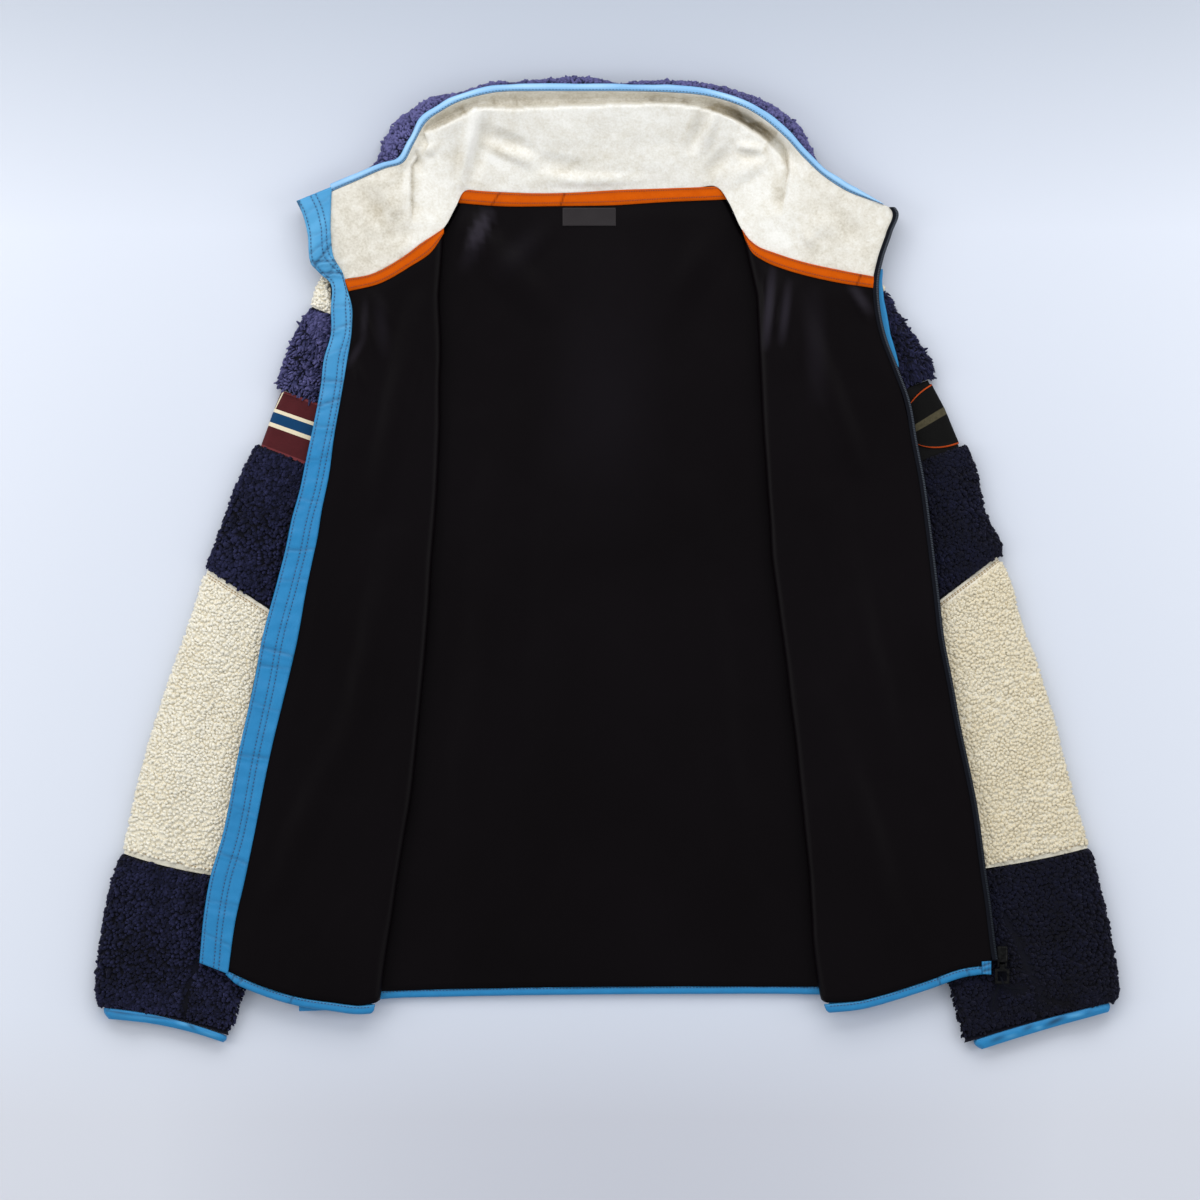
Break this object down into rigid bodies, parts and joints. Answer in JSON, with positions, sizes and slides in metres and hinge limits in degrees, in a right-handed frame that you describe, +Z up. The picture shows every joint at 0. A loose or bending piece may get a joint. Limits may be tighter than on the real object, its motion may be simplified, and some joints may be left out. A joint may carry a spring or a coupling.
{
  "type": "hooded fleece jacket",
  "caption": "Hooded pile fleece jacket laid flat on its back, unzipped, both fronts folded open over the sleeves so the dark lining and light hood lining show.",
  "frame": {"origin": "under the middle of the jacket's outline, on the surface that it lies on", "axes": "+Z up out of the surface, +Y towards the hood, +X towards the sleeve on the right as seen from above"},
  "size_m": [0.9198, 0.8748, 0.035],
  "materials": {
    "navy_pile": "long curled pile fleece",
    "cream_pile": "long curled pile fleece",
    "hood_microfleece": "brushed short-pile fleece",
    "black_jersey": "smooth knitted lining",
    "blue_trim": "plain woven binding and facing",
    "orange_tape": "plain woven tape with top-stitching",
    "striped_band": "woven ribbon",
    "dark_band": "plain woven ribbon",
    "badge_cloth": "tightly woven patch",
    "label_cloth": "plain satin label",
    "zip_tape": "woven zip tape and thin cord",
    "dark_metal": "satin painted die-cast"
  },
  "bodies": {
    "garment": {"back_lining": "black_jersey", "back_outer": "navy_pile", "hem_binding_back": "blue_trim", "hem_binding_left_over": "blue_trim", "hem_binding_left_under": "blue_trim", "hem_binding_right_over": "blue_trim", "hem_binding_right_under": "blue_trim", "hood_binding": "blue_trim", "hood_lining": "hood_microfleece", "hood_outer": "navy_pile", "left_front_lining": "black_jersey", "left_front_outer": "navy_pile", "left_sleeve_band": "striped_band", "left_sleeve_cuff": "navy_pile", "left_sleeve_cuff_binding": "blue_trim", "left_sleeve_forearm": "cream_pile", "left_sleeve_lower": "navy_pile", "left_sleeve_shoulder": "cream_pile", "left_sleeve_upper": "navy_pile", "left_zip_tape": "zip_tape", "neck_label": "label_cloth", "neck_tape_back": "orange_tape", "neck_tape_left": "orange_tape", "neck_tape_right": "orange_tape", "placket": "blue_trim", "right_front_lining": "black_jersey", "right_front_outer": "navy_pile", "right_sleeve_badge": "badge_cloth", "right_sleeve_band": "dark_band", "right_sleeve_cuff": "navy_pile", "right_sleeve_cuff_binding": "blue_trim", "right_sleeve_forearm": "cream_pile", "right_sleeve_lower": "navy_pile", "right_sleeve_shoulder": "cream_pile", "right_sleeve_upper": "navy_pile", "right_zip_facing": "blue_trim", "right_zip_tape": "zip_tape", "zip_slider": "dark_metal"},
    "zip_pull": {"zip_pull": "dark_metal", "pull_cord": "zip_tape"}
  },
  "joints": [
    {"name": "pull_swing", "type": "hinge", "parent": "garment", "child": "zip_pull", "pos_m": [0.355, -0.3614, 0.0166], "axis": [-1, 0, 0], "range_deg": [0, 75]}
  ]
}
